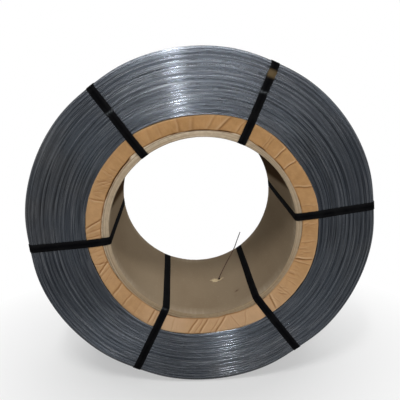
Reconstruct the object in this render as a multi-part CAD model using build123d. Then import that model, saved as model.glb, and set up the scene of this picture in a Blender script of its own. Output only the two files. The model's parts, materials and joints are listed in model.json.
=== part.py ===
from build123d import *
import math
import os

os.makedirs("parts", exist_ok=True)

# A coil of steel wire on a cardboard core, held by straps round its section.
# All lengths are in millimetres and all angles in degrees.

# Cardboard core tube
bore_d = 300.0
tube_wall = 10.0
tube_length = 236.0
tube_inner_edge_r = 4.0

# Torn patch inside the tube, and the hole that the inner end of the wire comes through
tear_angle = -77.6
tear_behind_middle = 5.9
tear_across = 20.0
tear_along = 13.0
tear_depth = 0.8
hole_d = 5.0
hole_from_tear_angle = 2.0
hole_from_tear_along = 3.5

# Kraft paper sleeve between the tube and the wire
sleeve_wall = 26.0
sleeve_gap = 0.3
sleeve_set_back = 1.2
sleeve_crown_at = 0.7
sleeve_fullness = 0.75
sleeve_crown_below_strap = 0.5
sleeve_edge_drop = 2.0
pleat_width = 2.4
pleat_depth = 1.1
# Each pleat in the paper's ends: its angle, and how far its outer end leans anticlockwise from the radius
pleats = [(45.7, 0), (37.6, 0), (23.3, -30), (78.5, -30), (-18.3, 15), (-48.1, -15), (-81.2, -40),
          (-90.7, -28), (-96.6, -28), (-145.6, 15), (-160.5, 35), (175, 35)]

# Wound wire
winding_build = 97.0
winding_proud = 4.0
winding_fall = 3.5
winding_corner_r = 10.0
rings_shown = 6
ring_relief = 0.7

# Straps
strap_width = 13.0
strap_thickness = 0.5
strap_gap = 0.05
strap_bend_r = 3.5
strap_first_angle = 7.2
# Each strap from the first on, evenly spaced: how far it slipped round, and how deep it presses the wire in
strap_fits = [(0, 2.5), (0, 2), (-0.9, 2), (-2.1, 3), (-2.1, 2.5), (-1, 3.5)]
lap_length = 40.0
face_lap_start = 46.0
straps_lapped_on_face = (2, 3)

# Derived radii, and heights above the middle of the coil while its axis is upright
bore_r = bore_d / 2
strap_seat_r = math.sqrt(bore_r ** 2 - (strap_width / 2) ** 2)
tube_r = bore_r + tube_wall
sleeve_r = tube_r + sleeve_wall
coil_r = sleeve_r + winding_build
tube_half = tube_length / 2
coil_half = tube_half + winding_proud
straps = [(strap_first_angle + n * 360 / len(strap_fits) + slip, press)
          for n, (slip, press) in enumerate(strap_fits)]


def chords(radius):
    """How many straight steps a rounded corner is cut into."""
    return max(1, round(math.sqrt(radius)))


def eased(corners):
    """Points of an anticlockwise outline, each corner (x, y, radius) rounded by a few chords."""
    points = []
    for n, (x, y, radius) in enumerate(corners):
        corner = Vector(x, y)
        if radius == 0:
            points.append((x, y))
            continue
        before = (Vector(*corners[n - 1][:2]) - corner).normalized()
        after = (Vector(*corners[(n + 1) % len(corners)][:2]) - corner).normalized()
        half_angle = before.get_angle(after) / 2
        middle = corner + (before + after).normalized() * (radius / math.sin(math.radians(half_angle)))
        spoke = corner + before * (radius / math.tan(math.radians(half_angle))) - middle
        for step in range(chords(radius) + 1):
            point = middle + spoke.rotate(Axis.Z, (180 - 2 * half_angle) * step / chords(radius))
            points.append((point.X, point.Y))
    return points


def mirrored(half):
    """An anticlockwise outline from its upper edge, given from the bore outwards."""
    return [(r, -z) for r, z in half] + half[::-1]


def turned(outline):
    return revolve(Plane.XZ * make_face(Polyline(*outline, close=True)), Axis.Z)


def crest(r):
    """Height of the wound face's crests at radius r."""
    return coil_half - winding_fall * (r - sleeve_r) / winding_build


def core_tube():
    tube = turned(eased([(bore_r, -tube_half, tube_inner_edge_r), (tube_r, -tube_half, 0),
                         (tube_r, tube_half, 0), (bore_r, tube_half, tube_inner_edge_r)]))
    tear = Rot(Z=tear_angle) * Pos(0, 0, -tear_behind_middle) * extrude(
        Plane.YZ * Ellipse(tear_across / 2, tear_along / 2), bore_r + tear_depth)
    hole = (Rot(Z=tear_angle + hole_from_tear_angle)
            * Pos(0, 0, -tear_behind_middle - hole_from_tear_along)
            * extrude(Plane.YZ * Circle(hole_d / 2), coil_r))
    return tube - tear - hole


def wrapped(margin, press):
    """The section that a strap lies round, pressed in at the rim, and grown by a margin."""
    rim_r = coil_r - press
    rim_half = crest(rim_r)
    outline = eased([(strap_seat_r, -tube_half, strap_bend_r), (sleeve_r, -coil_half, 0),
                     (rim_r, -rim_half, winding_corner_r), (rim_r, rim_half, winding_corner_r),
                     (sleeve_r, coil_half, 0), (strap_seat_r, tube_half, strap_bend_r)])
    return offset(make_face(Polyline(*outline, close=True)), margin, kind=Kind.INTERSECTION)


def paper_sleeve():
    inner = tube_r + sleeve_gap
    outer = sleeve_r - sleeve_gap
    low = tube_half - sleeve_set_back
    crown_r = inner + sleeve_crown_at * (outer - inner)
    under_strap = tube_half + winding_proud * (crown_r - bore_r) / (sleeve_r - bore_r)
    crown = under_strap - sleeve_crown_below_strap
    sleeve = turned(mirrored([
        (inner, low),
        ((inner + crown_r) / 2, low + sleeve_fullness * (crown - low)),
        (crown_r, crown),
        (outer, crown - sleeve_edge_drop)]))
    nick = make_face(Polyline((0, -pleat_depth), (pleat_width / 2, 0), (pleat_width, pleat_depth),
                              (-pleat_width, pleat_depth), (-pleat_width / 2, 0), close=True))
    groove = extrude(Plane.YZ * nick, sleeve_wall, both=True)
    for angle, lean in pleats:
        for side in (1, -1):
            upright = groove if side == 1 else mirror(groove, Plane.XY)
            sleeve -= Rot(Z=angle) * Pos(crown_r, 0, side * crown) * Rot(Z=lean) * upright
    return sleeve


def wire_coil():
    pitch = (winding_build - winding_corner_r) / rings_shown
    half = [(sleeve_r, crest(sleeve_r) - ring_relief)]
    for n in range(rings_shown):
        r = sleeve_r + n * pitch
        half.append((r + pitch / 2, crest(r + pitch / 2)))
        half.append((r + pitch, crest(r + pitch) - ring_relief))
    steps = chords(winding_corner_r)
    middle_r = coil_r - winding_corner_r
    middle_z = half[-1][1] - winding_corner_r
    for n in range(1, steps + 1):
        a = math.radians(90 - 90 * n / steps)
        half.append((middle_r + winding_corner_r * math.cos(a), middle_z + winding_corner_r * math.sin(a)))
    coil = turned(mirrored(half))
    for angle, press in straps:
        beyond = Pos(coil_r, 0) * Rectangle(winding_build, 3 * coil_half) - wrapped(0, press)
        coil -= Rot(Z=angle) * extrude(Plane.XZ * beyond, coil_r / 2, both=True)
    return coil


def strap(angle, press, lapped_on_face):
    """A closed flat band drawn tight round the section, with its ends lapped."""
    inner, middle, outer = (wrapped(strap_gap + n * strap_thickness, press) for n in range(3))
    band, second = middle - inner, outer - middle
    if lapped_on_face:
        window = Pos(sleeve_r + face_lap_start + lap_length / 2, coil_half) * Rectangle(lap_length, coil_half)
    else:
        window = Pos(coil_r, 0) * Rectangle(winding_build, lap_length)
    return Rot(Z=angle) * extrude(Plane.XZ * (band + (second & window)), strap_width / 2, both=True)


def stood(piece):
    """Turns the coil from its axis upright to standing on its rim, front towards -Y."""
    return Pos(0, 0, coil_r) * Rot(X=90) * piece


pieces = {"wire_coil": wire_coil(), "kraft_sleeve": paper_sleeve(), "core_tube": core_tube()}
for n, (angle, press) in enumerate(straps, 1):
    pieces[f"strap_{n}"] = strap(angle, press, n in straps_lapped_on_face)

for name, piece in pieces.items():
    export_step(stood(piece), f"parts/{name}.step")
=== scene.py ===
import json
import math
import bpy
import numpy as np
from mathutils import Matrix, Vector


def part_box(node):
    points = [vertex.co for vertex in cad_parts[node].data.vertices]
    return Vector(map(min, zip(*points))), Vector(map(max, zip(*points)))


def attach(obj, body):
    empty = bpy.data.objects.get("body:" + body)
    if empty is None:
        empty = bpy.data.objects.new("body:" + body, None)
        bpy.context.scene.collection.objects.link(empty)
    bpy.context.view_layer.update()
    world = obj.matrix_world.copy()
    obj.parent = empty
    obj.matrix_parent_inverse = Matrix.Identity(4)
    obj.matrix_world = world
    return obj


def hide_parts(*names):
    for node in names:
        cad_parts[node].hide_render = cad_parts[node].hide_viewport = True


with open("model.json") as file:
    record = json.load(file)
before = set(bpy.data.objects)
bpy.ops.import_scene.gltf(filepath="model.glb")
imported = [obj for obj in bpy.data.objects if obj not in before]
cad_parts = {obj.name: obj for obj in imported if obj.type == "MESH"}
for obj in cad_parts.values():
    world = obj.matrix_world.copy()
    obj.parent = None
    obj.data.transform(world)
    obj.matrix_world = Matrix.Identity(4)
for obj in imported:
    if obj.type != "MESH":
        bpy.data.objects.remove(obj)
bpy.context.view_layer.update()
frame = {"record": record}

# A coil of steel wire on a cardboard core, held by straps round its section and standing on its rim.
# Lengths are in metres, or in millimetres where a comment says so, and the frame gives the solids' sizes.
# Angles are in degrees, anticlockwise from +X as seen from the front, which faces -Y.
mm = 0.001

# Sizes of the solids
coil_low, coil_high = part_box("wire_coil")
tube_low, tube_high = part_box("core_tube")
sleeve_low, sleeve_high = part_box("kraft_sleeve")
axis_z = (coil_low.z + coil_high.z) / 2
coil_r = (coil_high.z - coil_low.z) / 2
coil_half = coil_high.y
tube_r = (tube_high.z - tube_low.z) / 2
tube_half = tube_high.y
sleeve_r = (sleeve_high.z - sleeve_low.z) / 2
bore_r = frame["record"]["mounts"][0]["dims"]["r_mm"] * mm

# Wound wire: a turn is drawn by its outer half, which rises and spreads a little from its middle
wire_d = 1.8 * mm
wire_pitch = 1.76 * mm
turn_rise = 0.42 * wire_d
turn_half_width = 0.52 * wire_d
winding_fall = 3.5 * mm
winding_corner_r = 10 * mm
bed_depth = 1.5 * mm
bed_pitch = 6 * mm

# Straps
strap_width = 13 * mm
strap_thickness = 0.5 * mm
strap_gap = 0.05 * mm
strap_bevel = 0.12 * mm
strap_sway = 0.35 * mm
strap_seat_r = math.sqrt(bore_r ** 2 - (strap_width / 2) ** 2)
strap_bore_bend_r = 6 * mm
strap_paper_bend_r = 60 * mm
strap_rim_bend_r = 9.5 * mm
strap_ridge_r = sleeve_r + 4 * mm
strap_off_tube = 0.1 * mm
strap_off_ridge = 0.02 * mm
strap_press_spread = 9.0
straps_lapped_on_face = (2, 3)
lap_start = sleeve_r + 46 * mm
lap_length = 40 * mm
lap_gap = 0.02 * mm
lap_end_lift = 0.12 * mm
# A painted glint across the lapped straps, near the lap's inner end
lap_glint_r, lap_glint_width = lap_start + 2 * mm, 1.8 * mm
stained_lap = 2
# A painted highlight across one strap's bend at the bore's front edge
strap_with_bend_glint = 5
bend_glint_r, bend_glint_width = strap_seat_r + 3.4 * mm, 0.6 * mm

# Marks inside the tube: the torn patch, the hole that the wire comes through, and a dark scuff
tear_angle = -77.6
tear_y = 5.9 * mm
tear_across = 20 * mm
tear_along = 13 * mm
tear_depth = 0.8 * mm
hole_angle = -75.6
hole_y = 9.4 * mm
hole_r = 2.3 * mm
scuff_angle = -65.2
scuff_y = -62 * mm

# The free inner end of the wire, from where it leaves the wall to its tip
tail_points = [(0.0505, 0.0090, 0.1685), (0.0650, 0.0085, 0.1985), (0.0713, 0.0082, 0.2170),
               (0.0768, 0.0080, 0.2334)]


def strap_place(number):
    """A strap's angle round the axis and how deep it presses the rim in, from its box."""
    low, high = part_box(f"strap_{number}")
    across, above = (low.x + high.x) / 2, (low.z + high.z) / 2 - axis_z
    layers = 1 if number in straps_lapped_on_face else 2
    inner = strap_seat_r - strap_gap - strap_thickness
    outer = 2 * math.hypot(across, above) - inner
    return math.degrees(math.atan2(above, across)), coil_r - (outer - strap_gap - layers * strap_thickness)


straps = {number: strap_place(number) for number in range(1, 7)}

# Where the paper's outer edge meets the wire: angle, and distance out from the sleeve's radius in mm
paper_edge = [
    (-171, 0.6), (-160, -1.2), (-150, -0.2), (-130, 3.3), (-119, 4), (-105, 3), (-92, 0.4), (-82, -1),
    (-70, 2.2), (-55, 3.6), (-38, 4.6), (-22, 4), (-8, 2.4), (1, 0.3), (10, 2.2), (20, 1.6), (37, -2),
    (50, 0), (67, 2), (80, 0.6), (94, -2), (108, -0.6), (124, 3), (140, 2.4), (157, 3), (178, 1.2)]


# Numbers and shapes

def unit(values):
    """Values held between 0 and 1."""
    return np.clip(values, 0, 1)


def hill(distance, width, power=2):
    """1 where the distance is 0, falling to 0 over about the width."""
    return np.exp(-(distance / width) ** power)


def angle_from(angles, centre):
    """Signed angle from a centre, between -180 and 180."""
    return (np.asarray(angles) - centre + 180) % 360 - 180


def near_straps(angles, spread):
    """1 under each strap, falling to 0 over about the spread on both sides."""
    return sum(hill(angle_from(angles, angle), spread) for angle, _ in straps.values())


def pressed_in(angles):
    """How far the straps press the rim in at each angle."""
    return sum(press * hill(angle_from(angles, angle), strap_press_spread)
               for angle, press in straps.values())


def along_curve(points, angles, reach=4):
    """A value read from (angle, value) points that go round the ring, smoothed over the reach."""
    at, value = np.array(sorted(points)).T
    steps = (-reach, -reach / 2, 0, reach / 2, reach)
    return sum(np.interp(np.asarray(angles) + step, at, value, period=360) for step in steps) / len(steps)


def edge_shift(angles):
    """How far the paper's outer edge and the first turns stand out from the sleeve's radius."""
    return along_curve(paper_edge, angles, 5) * mm


def surface_shift(share, on_front, angles):
    """How far the wound surface moves out, by the paper's edge and by the straps."""
    return edge_shift(angles) * (1 - share) ** 2 * on_front - pressed_in(angles) * share ** 2


def ripple(angles, counts, random):
    """Waves round the ring added up, one for each count, each with a start of its own."""
    return sum(np.sin(np.radians(angles) * count + random.uniform(0, 6)) for count in counts)


def turn_waves(slowest, fastest, size, seed, reach=0):
    """Random waves round every turn, with neighbours within the reach moving together."""
    random = np.random.default_rng(seed)
    counts = np.arange(slowest, fastest + 1)
    parts = random.normal(size=(2, turn_count, len(counts))) / np.sqrt(counts)
    if reach:
        offsets = np.arange(-3 * reach, 3 * reach + 1)
        padded = np.pad(parts, ((0, 0), (3 * reach, 3 * reach), (0, 0)), mode="reflect")
        weights = np.exp(-0.5 * (offsets / reach) ** 2)
        parts = sum(weight * padded[:, k:k + turn_count] for k, weight in enumerate(weights))
    parts *= size / np.sqrt((parts ** 2).sum(-1).mean())

    def at(chosen, angles):
        turns = np.radians(angles)[None, :] * counts[:, None]
        return parts[0, chosen] @ np.cos(turns) + parts[1, chosen] @ np.sin(turns)
    return at


def to_frame(r, angles, y):
    """Points from radius, angle and place along the axis, broadcast together."""
    r, a, y = np.broadcast_arrays(r, np.radians(angles), y)
    return np.stack([r * np.cos(a), y, axis_z + r * np.sin(a)], -1)


def normalized(vectors):
    return vectors / np.linalg.norm(vectors, axis=1, keepdims=True)


def rounded(corners, steps=10):
    """Fine points along an outline of corners (a, b, radius), each corner turned by an arc."""
    points = []
    for n, (a, b, radius) in enumerate(corners):
        corner = Vector((a, b))
        before = (Vector(corners[n - 1][:2]) - corner).normalized()
        after = (Vector(corners[(n + 1) % len(corners)][:2]) - corner).normalized()
        half = before.angle(after) / 2
        middle = corner + (before + after).normalized() * (radius / math.sin(half))
        first = corner + before * (radius / math.tan(half)) - middle
        turn = math.copysign(math.pi - 2 * half, before.y * after.x - before.x * after.y)
        for step in range(steps + 1):
            spoke = first.copy()
            spoke.rotate(Matrix.Rotation(turn * step / steps, 2))
            points.append(tuple(middle + spoke))
    return np.array(points)


def spaced(outline, pitch):
    """Points, outward normals and directions at even steps along an outline."""
    run = np.concatenate([[0], np.cumsum(np.linalg.norm(np.diff(outline, axis=0), axis=1))])
    places = np.arange(0, run[-1] + 1e-9, pitch)

    def at(distances):
        return np.stack([np.interp(distances, run, outline[:, k]) for k in (0, 1)], -1)

    direction = normalized(at(places + pitch / 2) - at(places - pitch / 2))
    return at(places), np.stack([direction[:, 1], -direction[:, 0]], -1), direction


def smooth_curve(points, steps=12):
    """Fine points along a smooth curve that passes through all the points."""
    points = np.array(points, float)
    ends = [2 * points[0] - points[1], *points, 2 * points[-1] - points[-2]]
    fine = [b + 0.5 * ((c - a) * t + (2 * a - 5 * b + 4 * c - d) * t ** 2 + (3 * b - a - 3 * c + d) * t ** 3)
            for a, b, c, d in zip(ends, ends[1:], ends[2:], ends[3:])
            for t in np.linspace(0, 1, steps, endpoint=False)]
    return np.array([*fine, points[-1]])


def dense_near(low, high, count, centre, reach, extra):
    """Even steps from low to high, with closer ones near a centre."""
    even = np.linspace(low, high, count)
    close = np.linspace(centre - reach, centre + reach, extra)
    return np.unique(np.concatenate([even[(even < centre - reach) | (even > centre + reach)], close]))


def sheets_object(name, points, material, slot, closed=True, keep=None, **attributes):
    """A smooth mesh of grid sheets, points[sheet, row, column], whose rows may close into rings."""
    points = np.asarray(points, np.float32)
    sheets, rows, columns = points.shape[:3]
    index = np.arange(sheets * rows * columns).reshape(sheets, rows, columns)
    here = index if closed else index[:, :-1]
    there = np.roll(index, -1, axis=1) if closed else index[:, 1:]
    quads = np.stack([here[:, :, :-1], there[:, :, :-1], there[:, :, 1:], here[:, :, 1:]], -1).reshape(-1, 4)
    if keep is not None:
        quads = quads[keep.reshape(-1)]
    mesh = bpy.data.meshes.new(name)
    mesh.vertices.add(points.size // 3)
    mesh.vertices.foreach_set("co", points.ravel())
    mesh.loops.add(quads.size)
    mesh.loops.foreach_set("vertex_index", quads.ravel().astype(np.int32))
    mesh.polygons.add(len(quads))
    mesh.polygons.foreach_set("loop_start", np.arange(0, quads.size, 4, dtype=np.int32))
    mesh.update(calc_edges=True)
    mesh.validate()
    mesh.polygons.foreach_set("use_smooth", np.ones(len(mesh.polygons), bool))
    for key, values in attributes.items():
        layer = mesh.attributes.new(key, "FLOAT", "POINT")
        values = np.broadcast_to(values, (sheets, rows, columns))
        layer.data.foreach_set("value", np.ascontiguousarray(values, np.float32).ravel())
    made = bpy.data.objects.new(name, mesh)
    bpy.context.scene.collection.objects.link(made)
    mesh.materials.append(material)
    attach(made, "root")
    return made


# Materials. Colours are linear red, green and blue.

class Nodes:
    """Short calls that build the node tree of a material or of the world."""

    def __init__(self, owner):
        owner.use_nodes = True
        self.owner = owner
        self.tree = owner.node_tree

    def put(self, node, key, value):
        """Links an input to another node's output, or sets it to a plain value."""
        socket = node.inputs[key]
        if isinstance(value, bpy.types.NodeSocket):
            self.tree.links.new(value, socket)
        else:
            socket.default_value = value

    def add(self, kind, settings=None, **inputs):
        node = self.tree.nodes.new(kind)
        for key, value in (settings or {}).items():
            setattr(node, key, value)
        for key, value in inputs.items():
            self.put(node, key.replace("_", " "), value)
        return node

    def operate(self, kind, operation, *values):
        node = self.add(kind, {"operation": operation})
        for number, value in enumerate(values):
            self.put(node, number, value)
        return node

    def math(self, operation, a, b):
        return self.operate("ShaderNodeMath", operation, a, b).outputs["Value"]

    def vector(self, operation, *vectors):
        return self.operate("ShaderNodeVectorMath", operation, *vectors).outputs["Vector"]

    def length(self, vector):
        return self.operate("ShaderNodeVectorMath", "LENGTH", vector).outputs["Value"]

    def place(self):
        """The place on the object, in the frame's own metres."""
        return self.add("ShaderNodeTexCoord").outputs["Object"]

    def attribute(self, name):
        return self.add("ShaderNodeAttribute", {"attribute_name": name}).outputs["Fac"]

    def part_of(self, name, most):
        """A mesh attribute, scaled to the most that it counts for."""
        return self.math("MULTIPLY", self.attribute(name), most)

    def texture(self, place, scale, detail):
        return self.add("ShaderNodeTexNoise", Vector=place, Scale=scale, Detail=detail).outputs["Fac"]

    def noise(self, scale, detail, stretch=(1, 1, 1)):
        mapped = self.add("ShaderNodeMapping", Vector=self.place(), Scale=stretch).outputs["Vector"]
        return self.texture(mapped, scale, detail)

    def span(self, value, low, high, to_low=0.0, to_high=1.0):
        """A value carried over from one span to another, and held inside it."""
        return self.add("ShaderNodeMapRange", Value=value, From_Min=low, From_Max=high,
                        To_Min=to_low, To_Max=to_high).outputs["Result"]

    def patches(self, scale, detail, low, high, most=1.0, stretch=(1, 1, 1)):
        """Cloudy patches, from 0 where the noise is low to the most where it is high."""
        return self.span(self.noise(scale, detail, stretch), low, high, 0.0, most)

    def mix(self, factor, a, b):
        """Two colours mixed. The node has several sockets of each name, so they go by number."""
        node = self.add("ShaderNodeMix", {"data_type": "RGBA"})
        for number, value in ((0, factor), (6, a), (7, b)):
            self.put(node, number, (*value, 1) if isinstance(value, tuple) else value)
        return node.outputs[2]

    def bump(self, height, distance):
        return self.add("ShaderNodeBump", Height=height, Strength=1.0, Distance=distance).outputs["Normal"]

    def surface(self, **inputs):
        """Sets the material's own shader, and gives the material."""
        for key, value in inputs.items():
            self.put(self.tree.nodes["Principled BSDF"], key.replace("_", " "), value)
        return self.owner

    def blend(self, factor, first, second, output):
        """Sends two shaders, blended by the factor, to the tree's output."""
        blended = self.add("ShaderNodeMixShader")
        for number, value in enumerate((factor, first.outputs[0], second.outputs[0])):
            self.put(blended, number, value)
        self.put(self.tree.nodes[output], "Surface", blended.outputs[0])

    def seen(self):
        """1 for what is seen directly, in a reflection or through glass, and 0 for light on its way."""
        rays = self.add("ShaderNodeLightPath").outputs
        mirrored = self.math("MAXIMUM", rays["Is Camera Ray"], rays["Is Glossy Ray"])
        return self.math("MAXIMUM", mirrored, rays["Is Transmission Ray"])


def ring_texture(m, round_scale, out_scale, along_scale, detail):
    """Noise that follows the ring, with scales round it, out from its axis and along its axis."""
    place = m.place()
    flat = m.vector("MULTIPLY", m.vector("SUBTRACT", place, (0, 0, axis_z)), (1, 0, 1))
    turned = m.vector("MULTIPLY", m.vector("NORMALIZE", flat), (round_scale, 0, round_scale))
    along_axis = m.vector("MULTIPLY", place, (0, along_scale, 0))
    out = m.add("ShaderNodeCombineXYZ", Y=m.math("MULTIPLY", m.length(flat), out_scale)).outputs["Vector"]
    return m.texture(m.vector("ADD", m.vector("ADD", turned, along_axis), out), 1.0, detail)


def wire_material():
    """Dark drawn steel under a film of oil, with fine drawn lines, and painted shade, near black, on sunk
    turns.
    """
    dark, light = (0.014, 0.017, 0.022), (0.064, 0.070, 0.080)
    cool, warm = (0.050, 0.060, 0.074), (0.085, 0.074, 0.062)
    drawn, gap_shade = (0.150, 0.156, 0.166), (0.010, 0.011, 0.013)
    m = Nodes(bpy.data.materials.new("dark_drawn_steel"))
    colour = m.mix(m.attribute("tone"), dark, light)
    colour = m.mix(m.patches(9, 3, 0.42, 0.66, 0.35), colour, cool)
    colour = m.mix(m.patches(6, 3, 0.56, 0.72, 0.2, (1, 1, 1.3)), colour, warm)
    lines = ring_texture(m, 2.8, 900, 900, 3)
    colour = m.mix(m.span(lines, 0.52, 0.72, 0.0, 0.55), colour, drawn)
    # Painted shade: sunk turns darkened towards black
    colour = m.mix(m.part_of("sunk_turn_shade", 0.6), colour, gap_shade)
    spots = m.span(m.noise(110, 4), 0.25, 0.75, -0.03, 0.05)
    roughness = m.math("ADD", spots, m.span(m.attribute("gloss"), 0.1, 0.7, 0.50, 0.185))
    from_axis = m.vector("SUBTRACT", m.place(), (0, 0, axis_z))
    round_ring = m.vector("CROSS_PRODUCT", from_axis, (0, 1, 0))
    return m.surface(Base_Color=colour, Metallic=0.8, Roughness=roughness, Specular_IOR_Level=0.3,
                     Anisotropic=0.7, Anisotropic_Rotation=0.25, Tangent=round_ring,
                     Normal=m.bump(lines, 0.00003))


def backing_material():
    """The wire that shows between the turns, coloured near black as painted shade."""
    dark, light = (0.004, 0.0045, 0.006), (0.014, 0.014, 0.015)
    m = Nodes(bpy.data.materials.new("shaded_wire"))
    return m.surface(Base_Color=m.mix(m.noise(120, 3), dark, light), Metallic=0.2, Roughness=0.85,
                     Specular_IOR_Level=0.05, Normal=m.bump(m.noise(400, 2), 0.0002))


def kraft_material():
    """Brown kraft paper, paler towards its lower side as painted light, with painted highlights on its fold
    lips, painted shade in its creases and painted shadow in the gaps by its edges, and bare board at its
    inner edge.
    """
    brown, light_brown, blotch = (0.280, 0.150, 0.057), (0.344, 0.192, 0.081), (0.415, 0.232, 0.096)
    painted_light_paper, fibre, rubbed_and_highlit = (0.455, 0.310, 0.195), (0.500, 0.330, 0.185), (0.560, 0.390, 0.235)
    light_board, dark_board = (0.455, 0.375, 0.270), (0.330, 0.262, 0.176)
    shaded, gap_shade = (0.175, 0.075, 0.021), (0.040, 0.017, 0.008)
    m = Nodes(bpy.data.materials.new("kraft_paper"))
    colour = m.mix(m.patches(16, 4, 0.3, 0.7), brown, light_brown)
    colour = m.mix(m.patches(120, 4, 0.40, 0.64, 0.42), colour, blotch)
    # Painted light: the paper paler towards its lower side
    colour = m.mix(m.part_of("pale", 0.75), colour, painted_light_paper)
    grain = ring_texture(m, 120, 110, 110, 3)
    colour = m.mix(m.span(grain, 0.45, 0.72, 0.0, 0.08), colour, fibre)
    # Painted highlight on the fold lips and the folded outer edge, on partly rubbed paper
    colour = m.mix(m.part_of("ridge", 0.48), colour, rubbed_and_highlit)
    bare_board = m.mix(m.patches(160, 4, 0.42, 0.66), light_board, dark_board)
    colour = m.mix(m.attribute("bare"), colour, bare_board)
    # Painted shade in the creases, and painted shadow in the gaps by the joint and the tucked outer edge
    crease = m.attribute("crease")
    colour = m.mix(m.span(crease, 0.0, 0.7, 0.0, 0.8), colour, shaded)
    colour = m.mix(m.span(crease, 0.75, 1.0), colour, gap_shade)
    height = m.math("ADD", m.math("MULTIPLY", grain, 0.4), m.math("MULTIPLY", m.noise(75, 3), 1.5))
    return m.surface(Base_Color=colour, Roughness=m.span(m.noise(35, 2), 0.3, 0.7, 0.70, 0.86),
                     Specular_IOR_Level=0.05, Normal=m.bump(height, 0.0004))


def cardboard_material():
    """Wound board: mottled cut plies on the ends, paler at the top and browner at the bottom as painted light
    and shade, a smooth brown liner inside with painted shadow on its upper wall, and torn pale fibre.
    """
    brown_ply, light_brown_ply = (0.165, 0.112, 0.064), (0.245, 0.178, 0.108)
    pale_ply, light_pale_ply = (0.322, 0.243, 0.160), (0.478, 0.390, 0.286)
    mottle, liner_brown, light_liner = (0.250, 0.205, 0.140), (0.200, 0.149, 0.096), (0.246, 0.190, 0.127)
    speck, stain, worn_edge = (0.300, 0.240, 0.165), (0.036, 0.018, 0.008), (0.420, 0.350, 0.255)
    torn_fibre, scuffed = (0.500, 0.400, 0.250), (0.070, 0.032, 0.020)
    m = Nodes(bpy.data.materials.new("laminated_board"))
    end = m.attribute("end")
    plies = ring_texture(m, 1.2, 900, 10, 2)
    # The cut end's brown and pale plies are shaded and lit copies, mixed by the pale attribute as painted
    # light and shade
    brown = m.mix(m.span(plies, 0.36, 0.62), brown_ply, light_brown_ply)
    pale = m.mix(m.span(plies, 0.36, 0.62), pale_ply, light_pale_ply)
    cut_end = m.mix(m.attribute("pale"), brown, pale)
    cut_end = m.mix(m.patches(160, 4, 0.42, 0.66, 0.45), cut_end, mottle)
    liner = m.mix(m.patches(9, 4, 0.3, 0.7, 1.0, (1, 0.4, 1)), liner_brown, light_liner)
    liner = m.mix(m.patches(240, 4, 0.58, 0.74, 0.35), liner, speck)
    # Painted shadow over the bore's upper wall
    liner = m.mix(m.part_of("aged", 0.90), liner, stain)
    colour = m.mix(end, liner, cut_end)
    colour = m.mix(m.part_of("rim", 0.55), colour, worn_edge)
    colour = m.mix(m.attribute("torn"), colour, torn_fibre)
    colour = m.mix(m.part_of("scuff", 0.85), colour, scuffed)
    height = m.math("ADD", m.noise(520, 3), m.math("MULTIPLY", plies, m.math("MULTIPLY", end, 1.5)))
    return m.surface(Base_Color=colour, Roughness=m.span(m.noise(40, 2), 0.3, 0.7, 0.72, 0.9),
                     Specular_IOR_Level=0.0, Normal=m.bump(height, 0.0002))


def strap_material():
    """Black plastic strapping with a little dust, worn lighter edges, painted highlights across one bend and
    near the laps' ends, and a brown stained patch.
    """
    black, dust, rubbed_and_highlit = (0.0022, 0.0022, 0.0026), (0.011, 0.011, 0.011), (0.020, 0.020, 0.021)
    painted_glint_colour, stained = (0.130, 0.142, 0.150), (0.105, 0.074, 0.038)
    m = Nodes(bpy.data.materials.new("black_strapping"))
    colour = m.mix(m.patches(55, 4, 0.45, 0.75, 0.25), black, dust)
    colour = m.mix(m.part_of("edge", 0.18), colour, rubbed_and_highlit)
    # Painted highlights across one strap's bend and near the lap's end
    colour = m.mix(m.part_of("bent", m.span(m.noise(420, 2), 0.42, 0.6, 0.1, 0.9)), colour, painted_glint_colour)
    colour = m.mix(m.part_of("stain", 0.8), colour, stained)
    roughness = m.span(m.noise(240, 3), 0.3, 0.7, 0.36, 0.52)
    return m.surface(Base_Color=colour, Metallic=0.03, Roughness=roughness, Specular_IOR_Level=0.0,
                     Normal=m.bump(m.noise(700, 2), 0.00005))


def tail_material():
    """The bare end of the wire: rusty at its root and grey at its tip."""
    rust, light_rust, grey = (0.060, 0.026, 0.016), (0.110, 0.060, 0.042), (0.060, 0.060, 0.066)
    m = Nodes(bpy.data.materials.new("free_wire_end"))
    height = m.add("ShaderNodeSeparateXYZ", Vector=m.place()).outputs["Z"]
    rusty = m.mix(m.span(m.noise(260, 3), 0.35, 0.65), rust, light_rust)
    return m.surface(Base_Color=m.mix(m.span(height, 0.195, 0.215), rusty, grey), Metallic=0.55,
                     Roughness=0.5, Normal=m.bump(m.noise(800, 2), 0.00005))


steel = wire_material()
shaded_steel = backing_material()
kraft = kraft_material()
board = cardboard_material()
strapping = strap_material()
tail_steel = tail_material()


# Wound wire

def crest(r):
    """Height of the wound face at radius r, from the coil's middle."""
    return coil_half - winding_fall * (r - sleeve_r) / (coil_r - sleeve_r)


def winding_outline(face_points=40, corner_points=24, corner_start=0.04):
    """The wound surface in section, from the front inner edge over the rim to the back inner edge."""
    flat_end = coil_r - winding_corner_r
    middle_y = winding_corner_r - crest(flat_end)
    face = [(r, -crest(r)) for r in np.linspace(sleeve_r + wire_d / 2, flat_end, face_points)]
    corner = [(flat_end + winding_corner_r * math.sin(a), middle_y - winding_corner_r * math.cos(a))
              for a in np.linspace(corner_start, math.pi / 2, corner_points)]
    half = np.array(face + corner)
    return np.concatenate([half, half[::-1] * (1, -1)])


def winding_share(points):
    """How far points of the outline lie on the way from the sleeve to the rim."""
    return unit((points[:, 0] - sleeve_r) / (coil_r - sleeve_r))[:, None]


path, outward, along = spaced(winding_outline(), wire_pitch)
turn_count = len(path)
on_front = np.flatnonzero((path[:, 1] < 0) & (outward[:, 1] < -0.05))
on_back = np.flatnonzero((path[:, 1] > 0) & (outward[:, 1] > 0.05))
on_rim = np.arange(on_front[-1] + 1, on_back[0])

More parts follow.
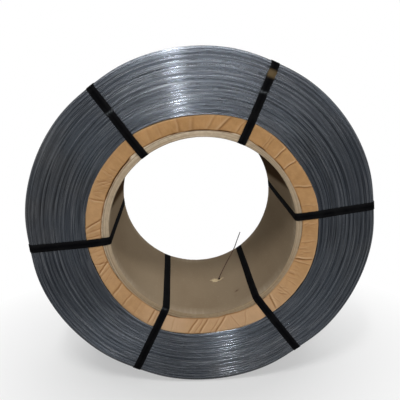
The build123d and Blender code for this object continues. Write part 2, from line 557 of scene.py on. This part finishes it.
# How the turns wander, rise, sink and shine, as waves round each of them
drift = turn_waves(1, 5, 0.17 * mm, seed=11, reach=4)
sway = turn_waves(6, 26, 0.05 * mm, seed=12)
swell = turn_waves(1, 6, 0.06 * mm, seed=13, reach=1)
lift = turn_waves(1, 4, 0.12 * mm, seed=14)
slump = turn_waves(1, 7, 1.0 * mm, seed=15)
shine = turn_waves(1, 9, 1.0, seed=16)
slump_starts = 1.6 * mm
slump_most = 0.5 * mm
slump_shaded = 0.7 * mm
first_turns_looser = 3.0
looser_over_turns = 3.0
strap_hold_spread = 3.0
slump_held_by_strap = 0.7
aside_held_by_strap = 0.6
tone_middle, tone_by_turn, tone_by_wave = 0.40, 0.24, 0.08
gloss_middle, gloss_if_lively, gloss_by_turn, gloss_by_wave = 0.34, 0.26, 0.17, 0.10

# How much each turn differs from the others: the ones on the rim are more alike
liveliness = np.ones((turn_count, 1))
liveliness[on_rim] = 0.5


def turn_shades(like_last=0.5, evened=5):
    """How light each turn is: a little like the last one, even over a few turns, and 1 in spread."""
    drawn = np.random.default_rng(17).normal(size=turn_count + 1)
    shades = drawn[1:] + like_last * drawn[:-1]
    shades -= np.convolve(shades, np.ones(evened) / evened, "same")
    return (shades / shades.std())[:, None]


shade = turn_shades()
polish = np.roll(shade, 5, axis=0)


def wander(chosen, angles):
    """How far turns have slumped, how deep they lie with that, and how far they lie aside."""
    lively = liveliness[chosen]
    loose = 1 + first_turns_looser * np.exp(-chosen / looser_over_turns)[:, None]
    held = near_straps(angles, strap_hold_spread)
    slumped = np.clip(slump(chosen, angles) - slump_starts, 0, slump_most) * lively
    depth = np.abs(swell(chosen, angles) + lift(chosen, angles)) + slumped * (1 - slump_held_by_strap * held)
    aside = drift(chosen, angles) * loose + sway(chosen, angles) * lively
    return slumped, depth, aside * (1 - aside_held_by_strap * held)


def turn_looks(chosen, angles, slumped):
    """Tone, gloss and painted shade of sunk turns, for the wire's material."""
    lively, shining = liveliness[chosen], shine(chosen, angles)
    tone = tone_middle + tone_by_turn * lively * shade[chosen] + tone_by_wave * shining
    gloss_of_turn = lively * (gloss_if_lively + gloss_by_turn * polish[chosen])
    gloss = gloss_middle + gloss_of_turn + gloss_by_wave * shining
    return {"tone": unit(tone), "gloss": unit(gloss), "sunk_turn_shade": unit(slumped / slump_shaded)}


def wound(name, chosen, steps, section):
    """Some of the turns as open half-round strips, each wandering a little on its neighbours."""
    angles = np.arange(steps) * 360 / steps
    slumped, depth, aside = wander(chosen, angles)
    start, out, on = path[chosen], outward[chosen], along[chosen]
    shift = surface_shift(winding_share(start), start[:, 1:2] < 0, angles)
    rise = np.cos(np.radians(section)) * turn_rise
    side = np.sin(np.radians(section)) * turn_half_width
    middle = [start[:, k, None] - (depth + wire_d / 2) * out[:, k, None] + aside * on[:, k, None]
              for k in (0, 1)]
    r, y = (middle[k][..., None] + rise * out[:, k, None, None] + side * on[:, k, None, None]
            for k in (0, 1))
    points = to_frame(r + shift[..., None], angles[None, :, None], np.clip(y, -coil_half, coil_half))
    looks = {key: values[..., None] for key, values in turn_looks(chosen, angles, slumped).items()}
    made = sheets_object(name, points, steel, "steel_wire", **looks)
    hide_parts("wire_coil")


fine_section, plain_section = [-95, -48, 0, 48, 95], [-90, -30, 30, 90]
half_front = len(on_front) // 2
wound("turns_front_inner", on_front[:half_front], 720, fine_section)
wound("turns_front_outer", on_front[half_front:], 720, fine_section)
wound("turns_rim", on_rim, 252, plain_section)
wound("turns_back", on_back, 300, plain_section)


def winding_bed(steps=120):
    """The near-black surface of painted shade that closes the gaps between the turns."""
    at, out, _ = spaced(winding_outline(), bed_pitch)
    angles = np.arange(steps) * 360 / steps
    shift = surface_shift(winding_share(at), at[:, 1:2] < 0, angles)
    r, y = (at[:, k, None] - bed_depth * out[:, k, None] for k in (0, 1))
    made = sheets_object("winding_bed", to_frame(r + shift, angles, y)[None], shaded_steel, "steel_wire")
    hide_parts("wire_coil")


winding_bed()


# Kraft paper sleeve

# Each crease: angle, lean of its outer end anticlockwise, depth in mm, half-width in mm
creases = [
    (174.5, 35, 1.2, 0.9), (178.5, 20, 0.6, 0.8), (161.6, 4, 0.8, 0.8), (152.5, 6, 0.2, 0.6),
    (150.5, 6, 0.2, 0.6), (146.2, 0, 0.35, 0.7), (137, 0, 0.15, 0.7), (118, -6, 0.2, 1), (112, 0, 0.2, 0.8),
    (102.4, 0, 0.5, 1), (95, -4, 0.3, 1.4), (85.5, -25, 0.4, 1.2), (79, -34, 0.8, 1.4), (71, -20, 0.5, 0.8),
    (55, 0, 0.4, 0.6), (53.4, 0, 0.35, 0.6), (45.7, 0, 1, 0.8), (37.6, 0, 1, 0.8), (23.3, -22, 0.9, 0.9),
    (12.5, -10, 0.3, 0.8), (2, 5, 0.3, 0.7), (-8, 15, 0.3, 0.7), (-18.3, 15, 1.3, 0.9), (-20.5, 5, 0.6, 0.7),
    (-28, 0, 0.2, 0.8), (-38.8, 0, 0.35, 0.7), (-48.1, -16, 0.9, 1), (-66, -25, 0.3, 0.8),
    (-72, 20, 0.3, 0.7), (-81.2, -40, 1.3, 1), (-84.2, -38, 0.5, 0.8), (-90.7, -30, 1.1, 0.9),
    (-93.2, -30, 0.5, 0.7), (-96.6, -28, 1.2, 0.9), (-107.8, 0, 0.25, 0.8), (-118.4, 0, 0.5, 0.7),
    (-120.7, 0, 0.9, 0.8), (-130, 4, 0.2, 0.8), (-137.6, 6, 0.6, 0.8), (-145.6, 17, 0.9, 0.9),
    (-157.5, 25, 0.5, 0.7), (-160.2, 36, 1.1, 0.9), (-162.6, -10, 0.7, 0.7), (-170, 10, 0.3, 0.8),
    (-178.2, 10, 0.6, 0.8)]
# Fine creases strewn at random: how many, between which angles, depth in mm, lean
fine_creases = [(36, -52, 4, 0.30, 12), (34, -180, 180, 0.08, 0), (14, 142, 160, 0.34, 30),
                (12, -172, -140, 0.25, 18)]
# How open the joint between the paper and the tube is, which also sets its painted shadow: angle, share
paper_joint = [
    (-180, 0.2), (-165, 0.35), (-150, 0.4), (-140, 0.5), (-130, 0.2), (-118, 0.1), (-110, 0.5), (-104, 0.3),
    (-92, 0.5), (-84, 0.3), (-76, 0.7), (-70, 0.6), (-60, 0.2), (-45, 0), (10, 0), (19, 0.6), (22, 0.2),
    (35, 0.2), (38, 0.9), (46, 0.7), (48, 0.1), (52, 0.3), (54, 1), (58, 0.9), (60, 0.1), (73, 0), (76, 1),
    (81, 1), (84, 0.4), (88, 0.8), (97, 0.8), (101, 0.2), (106, 0.9), (108, 0.3), (114, 0.5), (122, 0.2),
    (132, 0), (133.8, 0.9), (136, 1), (158, 0.9), (162, 0.3), (166, 0.6), (172, 0.2)]
# Where the paper's inner edge lies: angle, and distance out from the tube's radius in mm
paper_inner = [
    (-175, 2.8), (-168, 2.2), (-160, 1.4), (-155, 0.8), (-147, -1), (-135, -2), (-125, -1), (-118, 0.2),
    (-110, 0.2), (-105, -0.5), (-100, -2.4), (-90, -3.4), (-80, -2.8), (-75, -4.4), (-70, -2.6), (-60, -0.6),
    (-50, -0.4), (-40, -1.6), (-25, -1.6), (-15, -0.6), (-5, 0.2), (12, 0.2), (20, -0.9), (30, -1.8),
    (45, -1.8), (58, -0.9), (65, 0.8), (72, 2.6), (80, 1), (90, 0.2), (100, 0.5), (110, 1.5), (122, 2.2),
    (128, 3.6), (132.5, 4.8), (135, 2.4), (140, 2.2), (150, 1.4), (160, 1.6), (172, 2.0)]
# How far the paper's outer edge sinks below the first turns, which also sets the painted shadow along it:
# angle, share
paper_sunk = [
    (-180, 1), (-150, 1), (-135, 0.8), (-125, 0.4), (-112, 0.2), (-100, 1), (-70, 1), (-60, 0.3), (-20, 0),
    (-5, 0.3), (2, 1), (8, 0.2), (15, 0.2), (25, 0.8), (50, 1), (70, 0.6), (110, 0.8), (125, 0.2),
    (155, 0.3), (165, 1)]
# How pale the paper and the tube's end are, as painted light and shade: angle, share
paper_pale = [
    (-175, 0.25), (-150, 0.25), (-130, 0.3), (-108, 1), (-95, 0.45), (-75, 0.7), (-55, 0.65), (-30, 0.2),
    (0, 0.1), (60, 0), (120, 0), (165, 0.2)]
tube_pale = [
    (-170, 0.45), (-140, 0.25), (-120, 0.1), (-60, 0.05), (-35, 0.2), (-10, 0.4), (20, 0.35), (50, 0.5),
    (70, 0.75), (90, 1), (110, 0.85), (150, 0.65), (175, 0.6)]
paper_top = 3.6 * mm
fold_half_length = 15 * mm
deepest_crease = 0.74
swell_height = 0.35 * mm
paper_pressed_in = 1 * mm
joint_depth = 2.5 * mm
# Where the painted highlight of the paper's folded outer edge lies, as a share of the way out, and its width
folded_edge_at, folded_edge_width = 0.965, 0.022
# Steps across the paper, as shares of the way out, and how far inside its edges each of them lies
paper_share = np.concatenate([[0, 0.008], np.linspace(0.02, 0.98, 32), [0.992, 1]])
paper_inside = unit(np.minimum(paper_share, 1 - paper_share) / 0.08)


def paper_folds(random):
    """Each fold: angle, lean, depth and half-width in mm, share of the paper's width, and shift outwards."""
    folds = [(angle, lean, depth, width, 1, 0) for angle, lean, depth, width in creases]
    for count, low, high, depth, lean in fine_creases:
        for angle in random.uniform(low, high, count):
            folds.append((angle, random.normal(lean, 11), depth * random.uniform(0.5, 1.4),
                          random.uniform(0.45, 0.9), random.uniform(0.25, 0.6), random.uniform(-9, 5) * mm))
    return folds


def wrinkles(angles, r):
    """Height of the paper at each angle and radius from its folds, with the painted shade of each crease and
    the painted highlight of its lip.
    """
    random = np.random.default_rng(21)
    out = r - (tube_r + sleeve_r) / 2
    height = np.zeros(np.broadcast(angles, r).shape)
    crease, ridge = np.zeros_like(height), np.zeros_like(height)
    for centre, lean, depth, width, length, shift in paper_folds(random):
        bend = random.uniform(-0.7, 0.7) * np.sin(out / mm * 0.32 + random.uniform(0, 6))
        across = (r * np.radians(angle_from(angles, centre)) - math.tan(math.radians(lean)) * out) / mm + bend
        reach = hill(out - shift, length * fold_half_length, 4) * depth
        lip = hill(across - 2.7 * width, 1.9 * width)
        height += reach * mm * (0.45 * lip - hill(across, 1.35 * width))
        crease += np.clip(0.8 * reach, 0, 0.7) * hill(across - 0.3 * width, 1.6 * width)
        ridge += unit(0.9 * reach) * lip
    return height, np.clip(crease, 0, deepest_crease), unit(ridge)


def paper_dome(shift, sunk):
    """Height of the unwrinkled paper over the tube's end."""
    inner_rise = np.interp(shift, [-0.6, 0.4], [0.4, -0.9]) * unit(1 - paper_share / 0.05)
    dome = np.interp(paper_share, [0, 0.05, 0.3, 0.7, 0.92, 0.98, 1], [0, 0.5, 1.6, 2.6, 2.9, 2.9, 2.7])
    tucked = sunk * np.interp(paper_share, [0.86, 0.95, 0.98, 1], [0, 0.5, 1.2, 5.0])
    return (dome + inner_rise - tucked) * mm


def paper_rise(angles, height, joint, shift, swell):
    """Height of the paper with its folds and swells, held down by the straps and open at the joint."""
    held = near_straps(angles, 2.6) * paper_pressed_in * unit((paper_share - 0.1) * 3)
    opened = joint * joint_depth * unit(1 - paper_share / 0.03) * (shift > -0.3)
    rise = paper_dome(shift, along_curve(paper_sunk, angles)) - held - opened
    rise += height * (0.25 + 0.75 * paper_inside) + swell * paper_inside * (paper_share - 0.2)
    return np.minimum(rise, paper_top)


def paper_shades(angles, crease, ridge, joint, edge_wave):
    """Painted crease shade and fold-lip highlight of the paper, with a painted highlight on its folded outer
    edge and painted shadow in the gaps beside both edges.
    """
    folded_edge = hill(paper_share - folded_edge_at, folded_edge_width) * (0.75 + 0.5 * edge_wave)
    joint_shade = unit(1.6 - paper_share / (0.03 + 0.04 * joint)) * unit(0.2 + 0.9 * joint)
    tucked_shade = along_curve(paper_sunk, angles) * unit((paper_share - 0.985) / 0.007)
    crease = np.maximum(np.maximum(crease * paper_inside, joint_shade), tucked_shade)
    return crease, unit(np.maximum(ridge * paper_inside, folded_edge))


def with_board(at_tube, at_paper, values, side):
    """Paper values after two columns of bare board, as one sheet that faces outwards."""
    board_columns = [np.broadcast_to(value, (len(values), 1)) for value in (at_tube, at_paper)]
    return np.concatenate([*board_columns, values], axis=1)[None, :, ::-side]


def paper_end(side):
    """One creased end of the sleeve, domed between the tube and the wire, with a rim of bare board."""
    front = side < 0
    rows = 1440 if front else 720
    angles = np.arange(rows)[:, None] * 360 / rows
    random = np.random.default_rng(22)
    inner_wave, outer_wave = (ripple(angles, (3, 7, 12, 19, 31, 47), random) / 4 for _ in range(2))
    swell = swell_height * ripple(angles, (6, 11, 17), random) / 2
    joint = along_curve(paper_joint, angles, 0.8)
    shift = along_curve(paper_inner, angles, 1.2) if front else np.full_like(angles, 0.3)

    inner = tube_r + (0.1 + 0.35 * inner_wave + shift) * mm
    outer = sleeve_r + (0.3 * outer_wave - 0.1) * mm + (edge_shift(angles) if front else 0)
    r = inner + paper_share * (outer - inner)
    height, crease, ridge = wrinkles(angles, r)
    rise = paper_rise(angles, height, joint, shift, swell)
    crease, ridge = paper_shades(angles, crease, ridge, joint, inner_wave)
    pale = unit(along_curve(paper_pale, angles)) + 0 * r

    board_rise = np.where(shift < 0, 0.2, -0.25) * mm
    board_start = np.minimum(inner - 0.05 * mm, tube_r + 0.15 * mm)
    points = to_frame(with_board(board_start, inner - 0.03 * mm, r, side), angles,
                      side * (tube_half + with_board(board_rise, board_rise, rise, side)))
    made = sheets_object(f"paper_{'front' if front else 'back'}", points, kraft, "kraft_paper",
                         ridge=with_board(0, 0, ridge, side), pale=with_board(0, 0, pale, side),
                         bare=with_board(1, 1, 0 * r, side),
                         crease=with_board(0, unit(0.1 + joint), crease, side))
    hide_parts("kraft_sleeve")


paper_end(-1)
paper_end(1)


# Cardboard tube

tube_edge = 0.5 * mm
tube_outside_shown = 8 * mm
lip_r = 1.9 * mm
lip_more_at_straps = 3.2 * mm
end_wear = 0.35 * mm
fray_depth = 1.1 * mm
fibre_height = 0.12 * mm
curl_height = 0.55 * mm


def tube_end(side, lip, wear, frayed):
    """One end of the tube's section: its outside, its cut end, and the rounded edge into the bore.

    Each column is a radius, a place along the axis and a share of cut end.
    """
    outside, flat_r = tube_r - 0.05 * mm, tube_r - tube_edge
    face_y = side * (tube_half - wear)
    columns = [(outside, side * (tube_half - tube_outside_shown), 0),
               (outside, face_y - side * tube_edge, 0.5), (flat_r, face_y, 1)]
    for share in np.linspace(0.17, 1, 6):
        columns.append((flat_r - share * (flat_r - bore_r - lip), face_y, 1))
    for turn in np.radians(np.linspace(12, 90, 6)):
        edge_r = bore_r + (lip + frayed) * (1 - math.sin(turn))
        edge_y = face_y - side * (lip + 2 * frayed) * (1 - math.cos(turn))
        columns.append((edge_r, edge_y, min(1, 2.2 * math.cos(turn))))
    return columns


def along_wall(angles, centre):
    """Distance round the bore's wall from an angle."""
    return bore_r * np.radians(angle_from(angles, centre))


def torn_patch(angles, y, on_wall):
    """How torn the liner is, how far it curls up round the tear, and the height of the fibres in it."""
    across, behind = along_wall(angles, tear_angle), y - tear_y
    bearing = np.arctan2(behind, across)
    ragged = 1 + 0.16 * np.sin(3 * bearing + 1) + 0.10 * np.sin(7 * bearing) + 0.07 * np.sin(13 * bearing + 2)
    reach = np.hypot(across / (tear_across / 2), behind / (tear_along / 2)) / ragged
    torn = unit((1.05 - reach) / 0.12) * on_wall
    curl = hill(reach - 1.12, 0.10) * on_wall * (0.5 + 0.5 * np.sin(bearing * 2 + 2.4))
    fibre = fibre_height * np.sin(across / mm * 2.1 + 3 * np.sin(y / mm * 1.3)) * torn
    return torn, curl, fibre


def scuff_marks(angles, y):
    """A dark scuff with a fainter one before it, both slanted."""
    across = along_wall(angles, scuff_angle)
    behind = y - scuff_y - 0.35 * across
    main = hill(across, 3.6 * mm) * hill(behind, 2.2 * mm)
    return main + 0.35 * hill(across + 5 * mm, 3 * mm) * hill(behind + 13 * mm, 3 * mm)


def stained_wall(angles, y):
    """The upper wall's painted shadow, which reaches lower on the left and at the back."""
    above_level = 90 - np.abs(angle_from(angles, 90))
    stain_line = 15 + 6 * np.cos(np.radians(angles)) - 5.5 * y / tube_half
    return unit((above_level - stain_line) / 4 + 0.5)


def worn_rim(angles, r, y, lip, frayed):
    """How worn the rounded edges of the bore are."""
    on_edge = hill(np.abs(y) - tube_half + lip + 0.8 * mm, 1.1 * mm) * (r < bore_r + lip * 0.5)
    return on_edge * unit(0.5 + 0.6 * frayed / mm + 0.4 * np.sin(np.radians(angles) * 7 + 1))


def wall_steps():
    """Steps along the bore's wall from -1 to 1, without both ends, closer at the tear and the scuff."""
    near_tear = dense_near(-1, 1, 12, tear_y / tube_half, 10 * mm / tube_half, 32)
    near_scuff = np.linspace(scuff_y - 9 * mm, scuff_y + 9 * mm, 8) / tube_half
    return np.unique(np.concatenate([near_tear, near_scuff]))[1:-1]


def tube_surface(angles, pale):
    """Radius, place along the axis, share of cut end and edge wear over the tube."""
    random = np.random.default_rng(31)
    held = near_straps(angles, strap_hold_spread)
    lip = lip_r + lip_more_at_straps * held + end_wear * ripple(angles, (4, 9, 17), random) / 2
    wear = end_wear * (np.abs(ripple(angles, (5, 13, 29, 47, 83, 131), random) / 3) + held)
    frayed = fray_depth * unit(ripple(angles, (23, 41, 67, 97, 139), random) / 5 - 0.1) * unit(pale + 0.15)
    ends = [tube_end(side, lip, wear, frayed) for side in (-1, 1)]
    first, last = (end[-1][1] for end in ends)
    wall = [(bore_r, first + (last - first) * (step + 1) / 2, 0) for step in wall_steps()]
    columns = ends[0] + wall + ends[1][::-1]
    r, y, end = (np.concatenate([np.broadcast_to(column[k], angles.shape) for column in columns], axis=1)
                 for k in range(3))
    return r, y, end, worn_rim(angles, r, y, lip, frayed)


def cardboard_tube():
    """The tube's ends and bore wall, with frayed edges, a torn patch, a hole, a scuff, painted light and
    shade on the cut ends and painted shadow on the upper wall.
    """
    angles = dense_near(-180, 179.5, 720, tear_angle, 6.0, 90)[:, None]
    pale = along_curve(tube_pale, angles)
    r, y, end, rim = tube_surface(angles, pale)
    on_wall = (np.abs(y) < tube_half - 12 * mm) & (r < bore_r + 1e-6)
    torn, curl, fibre = torn_patch(angles, y, on_wall)
    from_hole = np.hypot(along_wall(angles, hole_angle), y - hole_y)
    scuff = np.maximum(unit(scuff_marks(angles, y)), hill(from_hole, 3.0 * mm, 4)) * on_wall
    open_hole = (from_hole < hole_r) & on_wall
    touches_hole = open_hole | np.roll(open_hole, -1, axis=0)
    points = to_frame(r + torn * tear_depth + fibre - curl * curl_height, angles, y)
    made = sheets_object("board_tube", points[None], board, "cardboard",
                         keep=~(touches_hole[:, :-1] | touches_hole[:, 1:]),
                         ply=(r - bore_r) / (tube_r - bore_r), end=end, torn=np.maximum(torn, curl * 0.8),
                         scuff=scuff, rim=rim, pale=unit(pale), aged=stained_wall(angles, y))
    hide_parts("core_tube")


cardboard_tube()


# Straps

def strap_outline(press):
    """The inner side of a strap in section, as a closed loop."""
    rim_r = coil_r - press
    front = [(strap_seat_r - strap_gap, -tube_half - strap_off_tube, strap_bore_bend_r),
             (strap_ridge_r, -coil_half - strap_off_ridge, strap_paper_bend_r),
             (rim_r + strap_gap, -crest(rim_r) - strap_gap, strap_rim_bend_r)]
    back = [(r, -y, radius) for r, y, radius in front[::-1]]
    loop = rounded(front + back)
    return np.concatenate([loop, loop[:1]])


def strap_section():
    """Corners of a strap's bevelled section: across it, outwards, and how worn each is."""
    half, top, bevel = strap_width / 2, strap_thickness, strap_bevel
    return [(-half, bevel, 1), (-half + bevel, 0, 0.5), (half - bevel, 0, 0.5), (half, bevel, 1),
            (half, top - bevel, 1), (half - bevel, top, 1), (0, top, 0), (-half + bevel, top, 1),
            (-half, top - bevel, 1), (-half, bevel, 1)]


def strap_band(name, number, at, out, lift, sideways, closed, stain):
    """A length of strap along the given points, lifted off them and swaying sideways."""
    turn = math.radians(straps[number][0])
    rows = []
    for across, rise, _ in strap_section():
        r, y = (at[:, k] + out[:, k] * (rise + lift) for k in (0, 1))
        side = across + sideways
        rows.append(np.stack([r * math.cos(turn) - side * math.sin(turn), y,
                              axis_z + r * math.sin(turn) + side * math.cos(turn)], -1))
    # Painted highlights across the bend of one strap and near the lap's end on the lapped ones
    bend_glint = hill(at[:, 0] - bend_glint_r, bend_glint_width) * (number == strap_with_bend_glint)
    lap_end_glint = 0.6 * hill(at[:, 0] - lap_glint_r, lap_glint_width) * (number in straps_lapped_on_face)
    bent = (bend_glint + lap_end_glint) * (at[:, 1] < 0)
    worn = np.array([corner[2] for corner in strap_section()])
    made = sheets_object(name, np.stack(rows, 1)[None], strapping, "strapping", closed=closed,
                         edge=worn, stain=stain[:, None], bent=bent[:, None])
    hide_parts(f"strap_{number}")


def strap_pieces(number, press):
    """One strap: a band right round the section and the second layer where its ends lap."""
    at, out, _ = spaced(strap_outline(press), 2.0 * mm)
    random = np.random.default_rng(40 + number)
    run = np.arange(len(at)) / len(at) * 2 * math.pi
    sway = np.sin(2 * run + random.uniform(0, 6)) + 0.5 * np.sin(5 * run + random.uniform(0, 6))
    strap_band(f"band_{number}", number, at, out, 0.0, strap_sway * sway, True, np.zeros(len(at)))

    on_face = (at[:, 1] < -tube_half * 0.97) & (at[:, 0] > lap_start) & (at[:, 0] < lap_start + lap_length)
    on_rim = (np.abs(at[:, 1]) < lap_length / 2) & (at[:, 0] > sleeve_r)
    chosen = np.flatnonzero(on_face if number in straps_lapped_on_face else on_rim)
    reach = np.linspace(-1, 1, len(chosen))
    lift = strap_thickness + lap_gap + lap_end_lift * unit(np.abs(reach) * 8 - 7)
    stain = hill(reach - 0.62, 0.30, 4) * (number == stained_lap)
    strap_band(f"lap_{number}", number, at[chosen], out[chosen], lift, 0.0, False, stain)


for number, (_, press) in straps.items():
    strap_pieces(number, press)


def wire_tail(sides=10, cut_share=0.02):
    """The free inner end of the wire: a round rod from inside its hole up into the bore, cut off flat."""
    in_hole = [to_frame(bore_r + 3 * mm, hole_angle - 1.5, hole_y),
               to_frame(bore_r - 0.5 * mm, hole_angle - 0.2, hole_y)]
    middle = smooth_curve([*in_hole, *tail_points])
    direction = normalized(np.gradient(middle, axis=0))
    side = normalized(np.cross(direction, (0, 1, 0.2)))
    other = np.cross(direction, side)
    spin = np.linspace(0, 2 * math.pi, sides + 1)[None, :, None]
    ring = np.cos(spin) * side[:, None] + np.sin(spin) * other[:, None]
    rod = middle[:, None] + ring * wire_d / 2
    cut_end = middle[-1:, None] + ring[-1:] * wire_d / 2 * cut_share
    points = np.concatenate([rod, cut_end])
    sheets_object("wire_tail", points[None], tail_steel, "steel_wire", closed=False)


wire_tail()


# Floor, light and camera

def white_world():
    """Light that is stronger from above, in a world that is seen as white."""
    world = bpy.data.worlds.new("studio")
    bpy.context.scene.world = world
    sky = Nodes(world)
    direction = sky.add("ShaderNodeTexCoord").outputs["Generated"]
    height = sky.add("ShaderNodeSeparateXYZ", Vector=direction).outputs["Z"]
    below, above = 0.10, 0.40
    light = sky.tree.nodes["Background"]
    sky.put(light, "Color", (0.92, 0.95, 1.0, 1))
    sky.put(light, "Strength", sky.span(height, -0.3, 0.9, below, above))
    white = sky.add("ShaderNodeBackground", Color=(1, 1, 1, 1), Strength=1.0)
    sky.blend(sky.seen(), light, white, "World Output")


def studio_floor():
    """A pale floor that keeps the coil's shadow and is seen as white further off."""
    bpy.ops.mesh.primitive_plane_add(size=30, location=(0, 0, -0.5 * mm))
    floor = bpy.context.object
    floor.name = "studio_floor"
    m = Nodes(bpy.data.materials.new("pale_floor"))
    grey, light_grey = (0.60, 0.60, 0.59), (0.64, 0.64, 0.63)
    m.surface(Base_Color=m.mix(m.noise(3, 3), grey, light_grey), Roughness=0.9, Specular_IOR_Level=0.1)
    whitens_from, white_at, least_white = 0.20, 0.54, 0.42
    distance = m.length(m.vector("MULTIPLY", m.place(), (1, 1.3, 1)))
    far_away = m.span(distance, whitens_from, white_at, least_white, 1.0)
    white = m.add("ShaderNodeEmission", Color=(1, 1, 1, 1), Strength=1.0)
    m.blend(m.math("MULTIPLY", far_away, m.seen()), m.tree.nodes["Principled BSDF"], white, "Material Output")
    floor.data.materials.append(m.owner)


def soft_lamp(name, place, target, size, power, spread=180, in_gloss=True, in_matte=True):
    """A hidden rectangular lamp, which may light only the shine or only the matte part of a surface."""
    lamp = bpy.data.lights.new(name, "AREA")
    lamp.shape = "RECTANGLE"
    lamp.size, lamp.size_y = size
    lamp.energy = power
    lamp.spread = math.radians(spread)
    made = bpy.data.objects.new(name, lamp)
    made.visible_camera = False
    made.visible_glossy = in_gloss
    made.visible_diffuse = in_matte
    made.location = place
    made.rotation_euler = (Vector(target) - Vector(place)).to_track_quat("-Z", "Y").to_euler()
    bpy.context.scene.collection.objects.link(made)


def main_camera():
    """The photo's own view: a camera in front of the coil and above it, turned and tilted a little."""
    focal_px, image_px = 475.0, 400
    place = Vector((-0.0425, -0.8355, 0.5388))
    yaw, pitch, roll = 0.0519, 0.2777, -0.0061
    forward = Vector((math.sin(yaw) * math.cos(pitch), math.cos(yaw) * math.cos(pitch), -math.sin(pitch)))
    level = Vector((math.cos(yaw), -math.sin(yaw), 0))
    upright = level.cross(forward)
    right = math.cos(roll) * level + math.sin(roll) * upright
    up = -math.sin(roll) * level + math.cos(roll) * upright
    lens = bpy.data.cameras.new("camera")
    lens.sensor_width = 36
    lens.lens = focal_px / image_px * lens.sensor_width
    lens.clip_start = 0.01
    camera = bpy.data.objects.new("camera", lens)
    camera.matrix_world = Matrix((
        (right.x, up.x, -forward.x, place.x),
        (right.y, up.y, -forward.y, place.y),
        (right.z, up.z, -forward.z, place.z),
        (0, 0, 0, 1)))
    bpy.context.scene.collection.objects.link(camera)
    bpy.context.scene.camera = camera


white_world()
studio_floor()

# The key lamp, and the bright streak that it draws across the top turns
key_place = (-0.28, -1.15, 2.10)
soft_lamp("key", key_place, (0, 0, 0.3), (0.12, 0.60), 24)
soft_lamp("streak", key_place, (0, 0, 1.23), (0.10, 0.60), 13.5, spread=60, in_matte=False)
# Wide lamps that make the upper turns shine on both sides of the streak
soft_lamp("overhead", (0.28, -1.10, 1.50), (0.12, -0.12, 1.0), (3.0, 0.3), 31, spread=62, in_matte=False)
soft_lamp("overhead_left", (-0.75, -1.10, 1.50), (-0.30, -0.12, 1.0), (0.8, 0.3), 4.5,
          spread=62, in_matte=False)
# Soft light from the front, from the back, and through the bore on to its wall
soft_lamp("fill", (1.2, -2.30, 0.90), (0, 0, 0.25), (1.0, 1.0), 21)
soft_lamp("left_fill", (-1.2, -2.30, 0.80), (0, 0, 0.25), (1.0, 1.0), 8)
soft_lamp("back_fill", (0.6, 2.4, 1.6), (0, 0, 0.3), (1.6, 1.6), 14)
soft_lamp("bore_fill", (0.5, 2.4, 1.5), (0, 0, 0.3), (3.2, 1.4), 38, in_gloss=False)

main_camera()
bpy.context.scene.view_settings.view_transform = "Standard"
